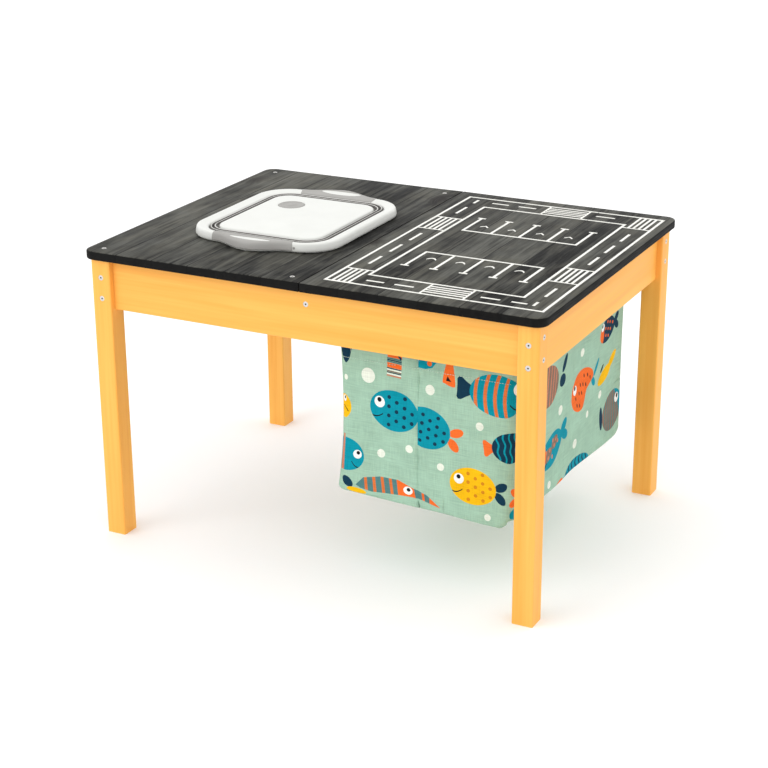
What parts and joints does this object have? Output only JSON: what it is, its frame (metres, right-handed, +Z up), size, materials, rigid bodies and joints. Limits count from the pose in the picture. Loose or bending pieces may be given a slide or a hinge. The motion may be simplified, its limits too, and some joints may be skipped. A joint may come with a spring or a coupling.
{
  "type": "children's activity table",
  "caption": "Low children's table: painted frame, stained top in two halves with a collapsible basin in one and a lift-off road-print half over a hanging fabric bag.",
  "frame": {"origin": "on the floor, under the middle of the table", "axes": "+X along the long side towards the lift-off half, +Y to the back, +Z up"},
  "size_m": [0.8, 0.6, 0.5165],
  "materials": {
    "frame_paint": "satin orange-yellow paint over pine",
    "top_stain": "charcoal stain over edge-glued pine, printed road layout",
    "plain_wood": "bare pine",
    "white_plastic": "satin moulded plastic",
    "grey_rubber": "soft matt moulding",
    "fish_cloth": "plain weave, printed with fish",
    "steel": "zinc plated"
  },
  "bodies": {
    "frame": {"leg_front_left": "frame_paint", "leg_front_right": "frame_paint", "leg_back_left": "frame_paint", "leg_back_right": "frame_paint", "apron_front": "frame_paint", "apron_back": "frame_paint", "apron_left": "frame_paint", "apron_right": "frame_paint", "cross_rail": "frame_paint", "bolt_front_left_leg_front_face_upper": "steel", "bolt_front_left_leg_side_face_upper": "steel", "bolt_front_left_leg_front_face_lower": "steel", "bolt_front_left_leg_side_face_lower": "steel", "bolt_front_right_leg_front_face_upper": "steel", "bolt_front_right_leg_side_face_upper": "steel", "bolt_front_right_leg_front_face_lower": "steel", "bolt_front_right_leg_side_face_lower": "steel", "bolt_front_apron_to_cross_rail": "steel", "bolt_back_left_leg_back_face_upper": "steel", "bolt_back_left_leg_side_face_upper": "steel", "bolt_back_left_leg_back_face_lower": "steel", "bolt_back_left_leg_side_face_lower": "steel", "bolt_back_right_leg_back_face_upper": "steel", "bolt_back_right_leg_side_face_upper": "steel", "bolt_back_right_leg_back_face_lower": "steel", "bolt_back_right_leg_side_face_lower": "steel", "bolt_back_apron_to_cross_rail": "steel", "nut_plate_front_apron_left_end": "steel", "nut_plate_left_apron_front_end": "steel", "nut_plate_front_apron_right_end": "steel", "nut_plate_right_apron_front_end": "steel", "nut_plate_back_apron_left_end": "steel", "nut_plate_left_apron_back_end": "steel", "nut_plate_back_apron_right_end": "steel", "nut_plate_right_apron_back_end": "steel", "barrel_nut_cross_rail_front": "steel", "barrel_nut_cross_rail_back": "steel", "top_screw_front_outer": "steel", "top_screw_front_seam": "steel", "top_screw_back_outer": "steel", "top_screw_back_seam": "steel", "top_panel_left": "top_stain", "bag_rod_front": "plain_wood", "bag_rod_back": "plain_wood", "storage_bag": "fish_cloth"},
    "lift_off_panel": {"top_panel_right": "top_stain", "top_batten_front": "plain_wood", "top_batten_back": "plain_wood", "batten_screw_front_left": "steel", "batten_screw_front_right": "steel", "batten_screw_back_left": "steel", "batten_screw_back_right": "steel"},
    "basin": {"basin_rim": "white_plastic", "basin_grip_front": "grey_rubber", "basin_grip_back": "grey_rubber"},
    "upper_band": {"basin_band_upper": "grey_rubber"},
    "lower_band": {"basin_band_lower": "grey_rubber"},
    "basin_floor": {"basin_base": "white_plastic"},
    "plug": {"drain_plug": "grey_rubber"}
  },
  "joints": [
    {"name": "panel_lift", "type": "slide", "parent": "frame", "child": "lift_off_panel", "axis": [0, 0, 1], "range_m": [0, 0.15]},
    {"name": "basin_lift", "type": "slide", "parent": "frame", "child": "basin", "axis": [0, 0, 1], "range_m": [0, 0.15]},
    {"name": "basin_unfold", "type": "slide", "parent": "basin", "child": "basin_floor", "axis": [0, 0, -1], "range_m": [0, 0.093]},
    {"name": "upper_band_drop", "type": "slide", "parent": "basin", "child": "upper_band", "axis": [0, 0, -1], "range_m": [0, 0.031]},
    {"name": "lower_band_drop", "type": "slide", "parent": "basin", "child": "lower_band", "axis": [0, 0, -1], "range_m": [0, 0.062]},
    {"name": "plug_pull", "type": "slide", "parent": "basin_floor", "child": "plug", "axis": [0, 0, 1], "range_m": [0, 0.03]}
  ],
  "couplings": [
    {"joint": "upper_band_drop", "follows": "basin_unfold", "ratio": 0.33333},
    {"joint": "lower_band_drop", "follows": "basin_unfold", "ratio": 0.66667}
  ]
}
